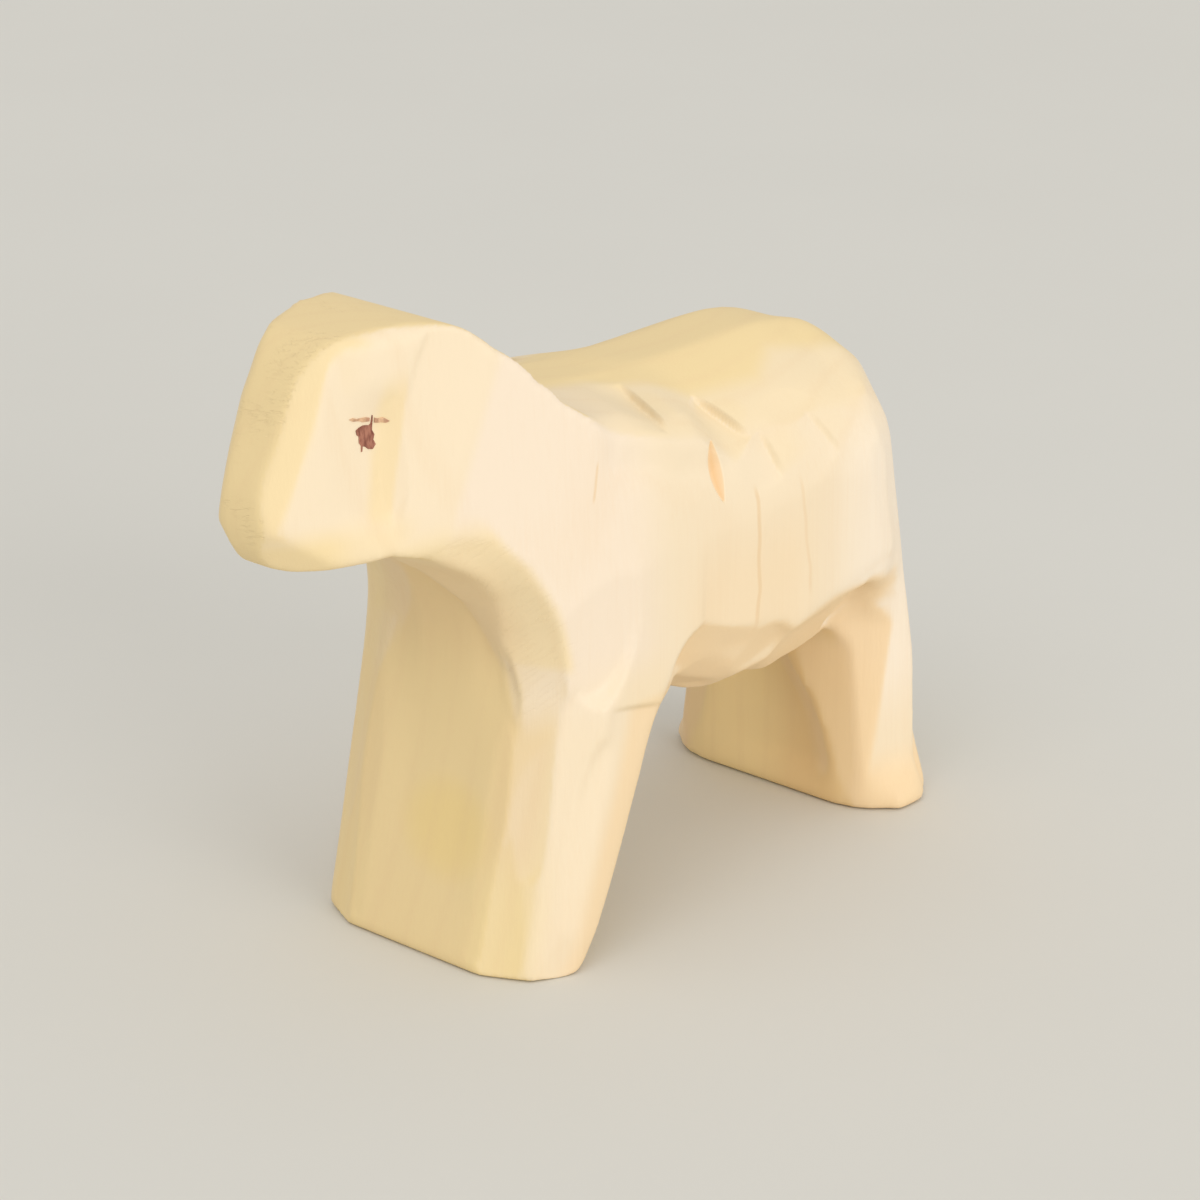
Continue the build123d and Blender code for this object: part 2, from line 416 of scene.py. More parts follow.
def fillBrow(work):
    # the step in front of the ear fades out below the crown
    axes = work.axes()
    x, y, z, side = axes.values()
    target = np.minimum(browSide(x, z), np.minimum(planeSide("crown", x, z), planeSide("brow", x, z)))
    where = zone(axes, browFill["zone"]) * within(x, browFill["span"])
    work.points[:, 1] += np.sign(y) * np.clip(target - side, 0, browFill["most"]) * where


farBrow = {
    "top": (63, 67.5),
    "crown": [(26.5, 0.0), (28.5, 1.0), (30, 1.7), (32, 2.0), (34, 2.0), (36, 1.2), (38, 0.4)],
    "nose": [(49, -0.6), (52.5, -0.5), (55, 0.0), (58, 0.4), (63, 0.75), (67, 0.5)],
    "noseFade": (31, 36),
    "zone": [("y", -0.4, -3.2), ("z", 47, 50)],
    "lowest": 46,
}


def widenFarBrow(work):
    # the right side of the head keeps more of its sawn strip
    x, y, z = work.points.T
    top = smoothStep(*farBrow["top"], z)
    limit = planeSide("face", x, z) * (1 - top) + browSide(x, z) * top
    crown = fromTable(farBrow["crown"], x)
    nose = fromTable(farBrow["nose"], z) * smoothStep(*farBrow["noseFade"], x)
    shift = (nose * (1 - top) + crown * top) * zone(work.axes(), farBrow["zone"])
    wide = np.minimum(-y + shift, np.maximum(limit, -y))
    work.points[:, 1] = np.where((y < 0) & (z > farBrow["lowest"]), -wide, y)


napeFill = {
    "ridge": [(0, 56.5), (4, 56.9), (8, 57.5), (10, 57.9), (12, 58.5), (14, 59.5), (16, 61.2), (18, 63.1),
              (20, 65), (22, 66.6)],
    "edge": [(-9, 50.5), (0, 52.3), (4.4, 54.0), (8.2, 55.2), (11.4, 56.6), (13.1, 57.8), (14.7, 59.0),
             (15.8, 60.4), (17.4, 61.8), (18.5, 63.2), (20.3, 64.8), (21.8, 65.7)],
    "widest": 16.2,
    "zone": [("x", -9, -2), ("x", 23.5, 21)],
    "reach": 4,
    "most": 2.4,
}


def fillNape(work):
    # the plane of the neck runs up to the ridge behind the head and down to the shoulder
    axes = work.axes()
    x, z, side = axes["x"], axes["z"], axes["side"]
    ridge, edge = fromTable(napeFill["ridge"], x), fromTable(napeFill["edge"], x)
    edgeSide = np.minimum(napeFill["widest"], planeSide("nape", x, edge))
    target = ridge - (ridge - edge) * np.minimum(side / edgeSide, 1) ** 2
    where = zone(axes, napeFill["zone"]) * (side < edgeSide) * (z > target - napeFill["reach"])
    work.points[:, 2] += np.clip(target - z, 0, napeFill["most"]) * where


chestFill = {
    "slope": 0.45,
    "zone": [("z", 26.5, 30), ("z", 46, 44.5), ("side", 7, 9), ("x", 10, 10), ("y", 0, 0)],
    "most": 3.0,
    "corner": (15.9, 14.8, 31.0),
    "cornerReach": 2.5,
    "cornerPasses": 25,
}


def fillChest(work):
    # the left shoulder reaches further forward, up to a bevel that follows the chest
    axes = work.axes()
    x, z, side = axes["x"], axes["z"], axes["side"]
    edgeX, edgeY = (np.interp(z, chestEdge[:, 2], chestEdge[:, axis]) for axis in (0, 1))
    neck = planeFront("neck", side, z)
    target = np.where(side < edgeY, edgeX + chestFill["slope"] * (edgeY - side), neck)
    work.points[:, 0] += np.clip(target - x, 0, chestFill["most"]) * zone(axes, chestFill["zone"])
    for outer, inner, facing, spread in bands.values():
        lift, belongs, facing = onBand(work.points, 1, outer, inner, facing, spread)
        work.points += facing * (lift * belongs)[:, None]
    apart = np.linalg.norm(work.points - chestFill["corner"], axis=1)
    work.soften(chestFill["cornerPasses"], np.exp(-(apart / chestFill["cornerReach"]) ** 2))


rumpFill = {
    "rise": 0.95,
    "zone": [("x", -28, -33), ("x", -43, -38), ("z", 46, 50), ("y", 0, 6)],
}


def fillRump(work):
    # the left of the rump is fuller
    work.points[:, 2] += rumpFill["rise"] * zone(work.axes(), rumpFill["zone"])


bellyLine = {
    "drop": [(-30, 0.0), (-24, 1.2), (-17, 1.0), (-14, -0.3), (-11, -1.8), (-8, -2.4), (-4, -2.0),
             (0, -0.9), (3, 0.0)],
    "zone": [("z", 28, 24), ("z", 14, 14)],
}


def levelBelly(work):
    # the belly hangs lowest just behind the front legs and rises from there to the groin
    axes = work.axes()
    work.points[:, 2] += fromTable(bellyLine["drop"], axes["x"]) * zone(axes, bellyLine["zone"])


hindLegs = {
    "rim": [(0, 8.0), (2, 8.8), (5, 9.6), (9, 8.6), (12, 7.1), (16, 3.8), (20, 2.0)],
    "farRim": -10.0,
    "hollow": 1.6,
    "hollowZone": [("z", 0.5, 5), ("z", 29, 25)],
    "hollowSpan": (-36, -29),
    "groinEdge": (27.9, 28.9),
    "groinSpread": (8.0, 1.0),  # how much lower the edge starts and ends at the rear, where it fades out
    "groinFade": (-29.5, -34),
    "groinZone": [("z", 34, 32), ("side", 9, 9)],
    "groinSpan": (-37, -20),
    "groinMost": 3.0,
    "flank": [(-37, 14.2), (-36, 14.7), (-35, 15.1), (-34, 15.6), (-33, 16.0), (-32, 16.3)],
    "front": -29,
    "inside": 4,
    "hollowCut": ((-31.9, 8.0, 10.0), (0.95, 0.30, 0.05)),
    "hollowCutZone": [("z", 24, 18)],
    "bevelCut": ((-33.2, 11.6, 13.5), (0.62, 0.77, 0.10)),
    "bevelCutFade": (28.6, 21.6),
    "outerCut": ((-35.3, 13.4, 12.7), (0.30, 0.95, 0.04)),
    "outerCutFade": (31, 19),
    "aboveFoot": (0, 6.5),
}


def shapeHindLegs(work):
    # a hollow between the hind legs, a bevel down the front of each and outer faces that lean in towards it
    axes = work.axes()
    x, y, z, side = axes.values()
    q = ramp(hindLegs["farRim"], fromTable(hindLegs["rim"], z), y)
    deep = hindLegs["hollow"] * (27 / 4) * q * q * (1 - q)  # deepest two thirds of the way across
    work.points[:, 0] -= deep * zone(axes, hindLegs["hollowZone"]) * within(x, hindLegs["hollowSpan"])

    rear = smoothStep(*hindLegs["groinFade"], x)
    start, end = (at - by * rear for at, by in zip(hindLegs["groinEdge"], hindLegs["groinSpread"]))
    groin = smoothStep(0, 1, ramp(start, end, z)) * zone(axes, hindLegs["groinZone"])
    short = np.clip(fromTable(hindLegs["flank"], x) - side, 0, hindLegs["groinMost"])
    work.points[:, 1] += np.sign(y) * short * groin * within(x, hindLegs["groinSpan"])

    for way in sides:
        here = (x < hindLegs["front"]) * (y * way > hindLegs["inside"])
        bevel = ramp(*hindLegs["bevelCutFade"], z) * smoothStep(*hindLegs["aboveFoot"], z)
        work.shave(hindLegs["hollowCut"], way, here * zone(axes, hindLegs["hollowCutZone"]))
        work.shave(hindLegs["bevelCut"], way, here * bevel)
        outer = smoothStep(*hindLegs["outerCutFade"], z) * smoothStep(*hindLegs["aboveFoot"], z)
        work.shave(hindLegs["outerCut"], way, here * outer)


# Strokes on the left side: place, way the face looks, way of the stroke, half length and width, depth
strokes = {
    "head": [
        ((32.6, 6.8, 57.0), (0.60, 0.79, 0.08), (0.10, 0.05, -1.0), (6.0, 1.7), 0.10),
        ((28.2, 8.7, 57.0), (0.31, 0.94, 0.12), (0.25, 0.0, -1.0), (15.0, 4.6), 0.12),
    ],
    "chest": [
        ((20.5, 8.0, 16.0), (0.973, 0.121, 0.197), (0.2, 0.0, -1.0), (15.0, 3.4), 0.14),
        ((18.6, 12.1, 19.0), (0.859, 0.484, 0.166), (0.2, 0.0, -1.0), (9.0, 3.0), 0.12),
        ((22.0, 11.1, 6.0), (0.904, 0.387, 0.181), (0.2, 0.0, -1.0), (9.0, 3.2), 0.12),
        ((15.9, 15.2, 21.0), (0.632, 0.763, 0.137), (0.2, 0.0, -1.0), (10.0, 2.6), 0.10),
    ],
    "leg": [
        ((13.2, 15.9, 38.5), (0.22, 0.97, -0.04), (0.12, 0.0, -1.0), (9.6, 5.4), 0.22),
        ((15.0, 16.1, 12.0), (0.42, 0.90, 0.12), (0.2, 0.0, -1.0), (12.0, 2.8), 0.10),
        ((18.2, 15.6, 4.0), (0.42, 0.90, -0.06), (0.2, 0.0, -1.0), (8.0, 2.8), 0.10),
    ],
    "flank": [
        ((-6.2, 16.5, 37.0), (0.03, 1.0, -0.03), (0.0, 0.0, 1.0), (19.0, 4.3), 0.12),
        ((-14.4, 16.5, 37.0), (-0.01, 1.0, 0.0), (0.03, 0.0, 1.0), (19.0, 3.9), 0.12),
        ((-23.2, 16.5, 38.0), (0.02, 1.0, 0.01), (0.05, 0.0, 1.0), (18.0, 4.8), 0.12),
        ((-31.2, 15.8, 38.0), (-0.16, 0.98, 0.04), (0.06, 0.0, 1.0), (14.0, 4.2), 0.16),
    ],
    "belly": [
        ((-4.8, 15.3, 28.0), (0.20, 0.84, -0.50), (1.0, 0.0, 0.3), (5.4, 4.0), 0.14),
        ((-11.0, 15.2, 26.2), (-0.04, 0.86, -0.50), (1.0, 0.0, 0.0), (5.0, 3.4), 0.14),
        ((-5.0, 12.0, 22.6), (0.30, 0.40, -0.86), (1.0, 0.0, 0.2), (4.5, 3.5), 0.20),
    ],
    "hind": [
        ((-41.0, 12.6, 14.0), (-0.66, 0.74, 0.02), (0.1, 0.0, -1.0), (12.0, 3.4), 0.18),
    ],
    "rump": [
        ((-19.5, 12.8, 50.8), (0.02, 0.72, 0.70), (1.0, 0.0, 0.0), (4.8, 3.6), 0.20),
        ((-27.0, 12.6, 50.4), (-0.10, 0.72, 0.69), (1.0, 0.1, 0.0), (5.2, 3.8), 0.20),
        ((-33.0, 12.4, 46.6), (-0.42, 0.74, 0.52), (0.7, 0.2, 0.7), (5.4, 3.6), 0.20),
        ((-28.0, 15.4, 45.8), (-0.10, 0.92, 0.38), (0.8, 0.0, 0.4), (5.0, 3.0), 0.16),
        ((-36.5, 12.6, 40.0), (-0.55, 0.80, 0.22), (0.2, 0.0, 1.0), (7.0, 3.4), 0.20),
        ((-38.6, 12.2, 30.0), (-0.62, 0.78, 0.10), (0.1, 0.0, 1.0), (7.0, 3.2), 0.18),
    ],
}
farSide = {  # the largest shift of what the right side copies from the left
    "strokes": 0.4,
    "stops": 0.8,
    "eyes": 0.05,
}


def vary(kind, side, shape):
    return dice.uniform(-farSide[kind], farSide[kind], shape) * (side < 0)


def cutStrokes(work):
    for side in sides:
        for name, group in strokes.items():
            for place, facing, along, size, depth in group:
                place, facing, along = (vector * mirror(side) for vector in (place, facing, along))
                work.pare(place + vary("strokes", side, 3), facing, along, size, depth, name == "rump")


nibbles = {
    "count": 80,
    "halfLength": (7.0, 12.0),
    "halfWidth": (2.0, 3.4),
    "depth": (0.04, 0.09),
    "front": 16,  # only behind this
    "offMiddle": 7,
    "above": 29,
    "sideways": 0.3,  # least share of the way a point looks that is to the side
    "tilt": 0.03,
    "topLook": 0.4,
    "alongTop": (1, 0, 0.2),
    "alongSide": (0.1, 0, 1),
    "room": 1.9,  # within this much of the half length, squared
    "bump": 0.7,  # nothing may rise higher than this
}


def nibbleFleece(work):
    # shallow strokes by chance, left out where one would run into a corner
    facing = work.normals()
    axes = work.axes()
    x, z, side = axes["x"], axes["z"], axes["side"]
    fit = (x < nibbles["front"]) & (side > nibbles["offMiddle"]) & (z > nibbles["above"])
    fit = np.flatnonzero(fit & (np.abs(facing[:, 1]) > nibbles["sideways"]))
    for index in dice.choice(fit, nibbles["count"], replace=False):
        place = work.points[index].copy()
        way = unit(facing[index] + dice.normal(0, nibbles["tilt"], 3))
        along = nibbles["alongTop"] if way[2] > nibbles["topLook"] else nibbles["alongSide"]
        size = [dice.uniform(*nibbles[key]) for key in ("halfLength", "halfWidth")]
        depth = dice.uniform(*nibbles["depth"])
        apart = work.points - place
        near = (apart * apart).sum(1) < nibbles["room"] * size[0] ** 2
        if (apart[near] @ way).max() < nibbles["bump"]:
            work.pare(place, way, along, size, depth, True)


softened = {
    "passes": 5,
    "zones": {
        "belly": [("z", 31, 28), ("z", 14, 16), ("x", -30, -27), ("x", 2, -1)],
        "leg": [("z", 29, 26), ("z", 3, 6), ("x", 4, 7), ("side", 14.5, 15.5)],
        "foot": [("z", 11, 8), ("x", -33, -36)],
    },
}


def softenCuts(work):
    axes = work.axes()
    shares = [zone(axes, limits) for limits in softened["zones"].values()]
    work.soften(softened["passes"], np.maximum.reduce(shares))


# Stop cuts of the fleece: both ends, way the face looks, depth, run
stops = [
    ((-0.3, 6.2, 55.3), (1.6, 13.8, 52.6), (0.0, 0.45, 0.89), 0.78, 5.0),
    ((-7.9, 9.4, 53.6), (-11.8, 14.2, 49.0), (0.0, 0.62, 0.78), 0.85, 6.5),
    ((-13.2, 14.2, 49.4), (-14.6, 16.5, 44.4), (0.0, 0.86, 0.50), 0.42, 5.5),
    ((-20.6, 13.9, 49.6), (-23.9, 16.5, 44.6), (0.0, 0.80, 0.60), 0.30, 6.0),
]
legStop = ((12.4, 16.2, 26.9), (3.2, 16.45, 24.7), (-0.10, 0.99, 0.0), 0.34, 7.0)
stopWork = {
    "fleeceWay": (1, 0, 0),
    "legWay": (0, 0, -1),
    "fineReach": 1.4,
    "endPasses": 1,
    "endShare": 0.4,
}
slitCut = {
    "place": (-4.9, 15.5, 47.6),
    "facing": (0.1, 0.9, 0.42),
    "look": (0.698, 0.617, 0.363),  # the slit is straight when seen from here
    "along": (0.123, 0.396, -0.91),
    "half": 3.3,
    "halfWidth": 0.72,
    "depth": 0.8,
    "bow": 0.3,
    "profile": [(-1, 0), (-0.4, 1), (1, 0)],
    "fineHalf": 3.6,
    "fineReach": (1.8, 1.4),
}


def slitShare(points, side):  # 1 along the deepest line of the slit, 0 at its rim
    look = unit(slitCut["look"])
    along = unit(slitCut["along"] - (slitCut["along"] @ look) * look)
    apart = points * mirror(side) - slitCut["place"]
    u = apart @ along / slitCut["half"]
    leaf = np.clip(1 - u * u, 1e-6, None)  # never quite 0, so that it can divide
    v = apart @ np.cross(look, along) / slitCut["halfWidth"] + slitCut["bow"] * leaf
    here = np.abs(apart @ unit(slitCut["facing"])) < knife["reach"]
    return np.sqrt(leaf) * fromTable(slitCut["profile"], v / leaf) * here


def cutStops(work):
    work.wall, work.tuft = np.zeros((2, len(work.points)))
    for side in sides:
        for start, end, facing, depth, run in stops:
            shift = vary("stops", side, 3)
            start, end, facing = (vector * mirror(side) for vector in (start, end, facing))
            work.chop(start + shift, end + shift, facing, stopWork["fleeceWay"], depth, run)
        start, end, facing = (vector * mirror(side) for vector in legStop[:3])
        work.chop(start, end, facing, stopWork["legWay"], *legStop[3:])
        share = slitShare(work.points, side) * slitCut["depth"]
        work.points -= share[:, None] * unit(slitCut["facing"] * mirror(side))
    work.soften(stopWork["endPasses"], share=stopWork["endShare"])


# Marks for the finish: how much of each look a point has, painted light and shade among them

slants = {  # lines that lean back: the height at which each is measured, and its lean
    "gougeFront": (65.1, 0.2),
    "gougeBack": (63.8, 0.176),
    "legBack": (0.0, 0.36),
    "earBack": (61.4, 0.413),
}
jawLine = [(z, x) for x, y, z in chestEdge] + [(50, 25.2)]
# golden share by the way a face looks: partly the sawn board faces, partly painted shade
sawnAndShadeWork = {
    "front": (4, 12),
    "frontLevel": (0.62, 0.30),
    "rearLevel": (0.36, 0.15),
    "bandShare": 0.5,
    "tuftShare": 0.6,
    "onBack": [("lookZ", 0.45, 0.7)],
    "backFront": 12,
    "backEdge": [(-36, 9.0), (-32, 8.8), (-23, 7.2), (-18, 10.0), (-8, 9.6), (-3, 7.5), (0, 6.5), (3, 5.0)],
    "backFade": (1.2, -1.6),
    "backLeast": 0.35,
}
# places on the head that are golden too, partly as painted shade
sawnAndShadePlaces = {
    "jawCorner": [(0.62, [("pastJaw", -1.0, 0.4), ("z", 50.5, 46.5), ("z", 31, 33), ("x", 40, 34)])],
    "headBevel": [(0.468, [("x", 33, 36), ("z", 44, 46), ("level", 0.96, 0.80)]),
                  (0.312, [("x", 33, 36), ("z", 49.5, 53), ("z", 44, 46), ("level", 0.96, 0.80)])],
    "gouge": [(0.62, [("gougeFront", 33.8, 32.2), ("gougeBack", 30.8, 31.2), ("z", 66, 62), ("z", 48.5, 52),
                      ("side", 4, 4)])],
    "chin": [(0.45, [("z", 52.5, 49.5), ("x", 30, 34)]),
             (0.40, [("x", 37, 41), ("z", 52.5, 49.5), ("x", 30, 34)])],
}


def mostOf(axes, places):
    return np.maximum.reduce([shareOf(axes, zones) for zones in places.values()])


def onBothBands(work, name):
    return np.maximum(*(onBand(work.points, side, *bands[name])[1] for side in sides))


def sawnAndShadeShare(axes, outerBand, innerBand, tuft):
    # the faces of the board that look forward, back and up, and the places on the head that are as golden;
    # the golden colour is partly the sawn board faces and partly painted shade on faces that do not look to
    # the side
    x, side, level = axes["x"], axes["side"], axes["level"]
    front = smoothStep(*sawnAndShadeWork["front"], x)
    sawn = front * smoothStep(*sawnAndShadeWork["frontLevel"], level)
    sawn = sawn + (1 - front) * smoothStep(*sawnAndShadeWork["rearLevel"], level)
    sawn = sawn * (1 - sawnAndShadeWork["bandShare"] * outerBand) * (1 - sawnAndShadeWork["bandShare"] * innerBand)
    sawn = np.maximum(sawn, mostOf(axes, sawnAndShadePlaces))
    onBack = zone(axes, sawnAndShadeWork["onBack"]) * (x < sawnAndShadeWork["backFront"])
    strip = smoothStep(*sawnAndShadeWork["backFade"], side - fromTable(sawnAndShadeWork["backEdge"], x))
    strip = sawnAndShadeWork["backLeast"] + (1 - sawnAndShadeWork["backLeast"]) * strip
    return np.maximum(sawn * (1 - onBack) + onBack * strip, sawnAndShadeWork["tuftShare"] * tuft)


# painted warm bounce light and shade: the belly's downward faces, the rear of the front leg, the lower
# flank, the forward faces of the hind legs and the hind feet
warmBounceAndShadePlaces = {
    "belly": [(1.0, [("lookZ", -0.1, -0.5), ("z", 14, 18), ("x", 10, 4)])],
    "legBack": [(0.75, [("legBack", 20, 17), ("z", 27.5, 26), ("x", 0, 0)])],
    "flank": [(0.45, [("x", 4, -4), ("x", -22, -15), ("z", 46, 34)])],
    "hindFront": [(1.0, [("lookX", 0.35, 0.55), ("x", -28, -30), ("level", 0.12, 0.3)])],
    "hindFoot": [(1.0, [("z", 8, 3), ("x", -28, -30)])],
}
# painted light: the pale faces of the neck and shoulder behind the ear line turn paler
paintedLightPlace = [("earBack", 23.4, 21.8), ("x", 2, 10), ("z", 24, 34)]


def markWood(work):
    # lookX and lookZ are how far a point looks forward and up, and level is how far it looks to the side
    look = work.normals()
    axes = work.axes()
    axes.update(lookX=look[:, 0], lookZ=look[:, 2], level=np.abs(look[:, 1]))
    axes["pastJaw"] = axes["x"] - fromTable(jawLine, axes["z"])
    for name, (height, lean) in slants.items():
        axes[name] = axes["x"] - (height - axes["z"]) * lean
    outerBand, innerBand = onBothBands(work, "outer"), onBothBands(work, "inner")
    sawn = sawnAndShadeShare(axes, outerBand, innerBand, work.tuft)
    work.keep("sawn", sawn)
    work.keep("wall", work.wall)
    work.keep("warm", mostOf(axes, warmBounceAndShadePlaces))
    work.keep("bright", zone(axes, paintedLightPlace) * (1 - sawn))
    work.keep("slit", np.maximum(slitShare(work.points, 1), slitShare(work.points, -1)))
    work.keep("torn", outerBand)


def refineCuts(work):
    place, along = np.array(slitCut["place"]), np.array(slitCut["along"]) * slitCut["fineHalf"]
    wide, close = slitCut["fineReach"]
    near = work.nearLine(place - along, place + along, wide)
    for cut in stops + [legStop]:
        near |= work.nearLine(*cut[:2], stopWork["fineReach"])
    work.refine(near)
    work.refine(work.nearLine(place - along, place + along, close))


def carveSheep():
    work = Carving("carved_body", blank["voxel"])
    work.soften(blank["fleecePasses"], zone(work.axes(), blank["fleece"]))
    for shape in (fillBrow, widenFarBrow, fillNape, fillChest, fillRump, levelBelly, shapeHindLegs):
        shape(work)
    work.evenOut(blank["voxel"])
    work.soften(blank["softenPasses"])
    work.soften(blank["feetPasses"], zone(work.axes(), blank["feet"]))
    refineCuts(work)
    print("blank filled and evened out")

    for cut in (cutStrokes, nibbleFleece, softenCuts, cutStops):
        cut(work)
    print("strokes cut")
    markWood(work)
    work.write()
    work.mesh.shade_smooth()
    sheep = bpy.data.objects.new("carvedSheep", work.mesh)
    bpy.context.scene.collection.objects.link(sheep)
    print("carved sheep:", len(work.points), "points", len(work.mesh.polygons), "faces")
    return sheep


# Eyes: brush strokes of thin paint on the plane of the face, given from the middle of the eye
eyeStrokes = {
    "middle": (35.35, 5.63, 59.4),
    "back": (-0.994, 0.114, 0.0),
    "rise": (-0.011, -0.098, 0.995),
    "out": (0.113, 0.989, 0.099),
    "castFrom": 4,
    "sunk": 0.12,
    "proud": 0.07,
    "dab": [(0.03, 1.08), (0.43, 1.03), (0.77, 0.95), (0.96, 1.12), (1.03, 1.59), (1.09, 1.88),
            (1.17, 1.84), (1.18, 1.39), (1.12, 0.98), (1.06, 0.42), (1.31, -0.06), (1.13, -0.51),
            (1.35, -1.02), (0.97, -1.43), (0.44, -1.3), (0.11, -0.99), (-0.18, -0.91), (-0.27, -1.37),
            (-0.41, -1.41), (-0.36, -0.82), (-0.58, -0.48), (-0.54, 0.11), (-0.76, 0.3), (-0.84, 0.75),
            (-0.46, 0.96)],
    "lidFront": [(-1.54, 1.97), (-1.08, 2.05), (-0.65, 1.87), (-0.13, 1.84), (0.4, 1.82), (0.84, 1.66),
                 (0.8, 1.32), (0.42, 1.36), (-0.03, 1.4), (-0.31, 1.57), (-0.67, 1.66), (-1.12, 1.7)],
    "lidBack": [(1.37, 1.56), (1.75, 1.4), (2.24, 1.43), (2.84, 0.98), (2.48, 0.84), (2.04, 0.98),
                (1.66, 0.98), (1.35, 1.08)],
}


def paintFilm(name, outlines, side, under):
    middle, back, rise, out = (np.array(eyeStrokes[key]) for key in ("middle", "back", "rise", "out"))
    look = Vector(out * mirror(side))
    points, faces = [], []
    for outline in outlines:
        flat = np.array(outline) + vary("eyes", side, (len(outline), 2))
        count, first = len(flat), len(points)
        ring = (middle + flat[:, :1] * back + flat[:, 1:] * rise) * mirror(side)
        ring = [under.ray_cast(Vector(p) * mm + look * eyeStrokes["castFrom"] * mm, -look)[1] for p in ring]
        for height in (-eyeStrokes["sunk"], eyeStrokes["proud"]):
            points += [tuple(p + look * height * mm) for p in ring]
        lower = list(range(first, first + count))
        upper = list(range(first + count, first + 2 * count))
        faces += [lower, upper[::-1]]
        faces += [(lower[i - 1], upper[i - 1], upper[i], lower[i]) for i in range(count)]
    mesh = bpy.data.meshes.new(name)
    mesh.from_pydata(points, [], faces)
    tidy = bmesh.new()
    tidy.from_mesh(mesh)
    bmesh.ops.recalc_face_normals(tidy, faces=tidy.faces)
    tidy.to_mesh(mesh)
    tidy.free()
    film = bpy.data.objects.new(name, mesh)
    bpy.context.scene.collection.objects.link(film)
    return film


def dress(piece, finish, node):
    piece.data.materials.clear()
    piece.data.materials.append(finish)
    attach(piece, "root")
    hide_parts(node)


# Finishes

fineNoise = (3.0, 0.6)  # detail and roughness of fine fibres


flaws = {
    "sway": 1.2,
    "swayGrain": (0.0, 0.0, 0.25),
    "swayDetail": 1.0,
    "onLeft": (11, 13),
    "lines": [  # where it crosses which height, lean, share of the sway, share, zone
        (-10.4, 37.0, 0.0, 1.0, 1.0, [("off", 0.45, 0.10), ("z", 28, 31), ("z", 45, 43.5)]),
        (-18.2, 37.0, -0.13, 1.0, 0.6, [("off", 0.40, 0.05), ("z", 30, 32), ("z", 44.5, 42.5)]),
        (12.2, 50.7, 0.21, 0.3, 1.0, [("off", 0.24, 0.03), ("z", 48.4, 49.2), ("z", 52.9, 52.0)]),
    ],
}


def grainLines(wood, place, axes):
    # two dark grain lines on the left flank and a nick on the shoulder
    sway = (wood.noise(place, flaws["swayGrain"], flaws["swayDetail"]) - 0.5) * flaws["sway"]
    shares = []
    for at, height, lean, swaying, share, limits in flaws["lines"]:
        axes["off"] = abs(axes["x"] - at + (axes["z"] - height) * lean + sway * swaying)
        shares.append(zone(axes, limits) * share)
    return sum(shares[1:], shares[0]) * axes["y"].step(*flaws["onLeft"])


tornWood = {
    "head": [("x", 26, 30), ("z", 47, 50), ("sawn", 0.75, 0.95)],
    "patchGrain": (0.22, 0.12, 0.16),
    "patchFade": (0.48, 0.62),
    "tearTilt": 0.24,
    "tearGrain": (1.6, 0.7, 2.8),
    "tearFade": (0.50, 0.68),
    "hatchAlong": (-0.3, 0.55, 0.62),
    "hatchOver": (-0.66, 0.72),
    "hatchGrain": (0.45, 3.2, 0.2),
    "hatchFade": (0.52, 0.66),
}


def tornFibres(wood, place, axes):
    # across the sawn strip of the head, and aslant on the bevel of the chest
    x, y, z, side = (axes[name] for name in ("x", "y", "z", "side"))
    patches = wood.noise(place, tornWood["patchGrain"]).step(*tornWood["patchFade"])
    ripple = wood.noise(wood.joined(x, y, z - y * tornWood["tearTilt"]), tornWood["tearGrain"], *fineNoise)
    tear = ripple.step(*tornWood["tearFade"]) * zone(axes, tornWood["head"]) * patches
    forth, out, up = tornWood["hatchAlong"]
    along = z * up + side * out + x * forth
    out, up = tornWood["hatchOver"]
    over = z * up + side * out
    slant = wood.noise(wood.joined(along, over, x), tornWood["hatchGrain"], *fineNoise)
    return tear, slant.step(*tornWood["hatchFade"]) * axes["torn"]


paleWood = {
    "pale": (0.893, 0.74, 0.525, 1),
    # painted light on the neck and shoulder
    "bright": (0.895, 0.75, 0.58, 1),
    "golden": (0.885, 0.685, 0.35, 1),
    "blush": (0.90, 0.665, 0.385, 1),
    "late": (0.80, 0.56, 0.31, 1),
    "cream": (0.925, 0.80, 0.64, 1),
    # painted light on the rear flank and hind legs
    "orange": (0.85, 0.54, 0.26, 1),
    "yellow": (0.90, 0.68, 0.27, 1),
    "honey": (0.91, 0.72, 0.36, 1),
    # painted light in the hollow between the hind legs
    "apricot": (0.96, 0.75, 0.40, 1),
    # painted shade on the walls of the stop cuts
    "endGrain": (0.68, 0.53, 0.32, 1),
    "pith": (-8.0, -62.0),
    "ringGap": 3.4,
    "wander": 6.0,
    "wanderGrain": (0.05, 0.05, 0.012),
    "lateSharp": 4.0,
    "fibreGrain": (3.0, 3.0, 0.07),
    "blotchGrain": (0.06, 0.06, 0.03),
    "warmLeast": 0.55,
    "warmBlotch": 0.6,
    "patchMiddle": (2.5, 13.5),  # yellow patch on the chest, across and up
    "patchHalf": (6.5, 5.5),
    "slitFade": (0.02, 0.2),
    "shine": 0.35,
}
woodShares = {  # how much each of them colours, roughens or sinks the wood
    "late": 0.10,
    "fibre": 0.25,
    "blotch": 0.3,
    "lines": 0.55,
    "hatch": 0.05,
    "tear": 0.10,
    "slitRim": 0.5,
    "slit": 0.45,
    "rough": 0.52,
    "fibreRough": 0.2,
    "sawnAndShadeRough": 0.12,
    "lineDepth": 0.8,
    "tearDepth": 1.3,
    "hatchDepth": 0.5,
    "grainBump": (0.05, 0.35),
    "tearBump": (0.08, 0.5),
}
betweenHindLegs = [("x", -29, -31), ("x", -38, -36), ("z", 28, 24), ("sawn",)]
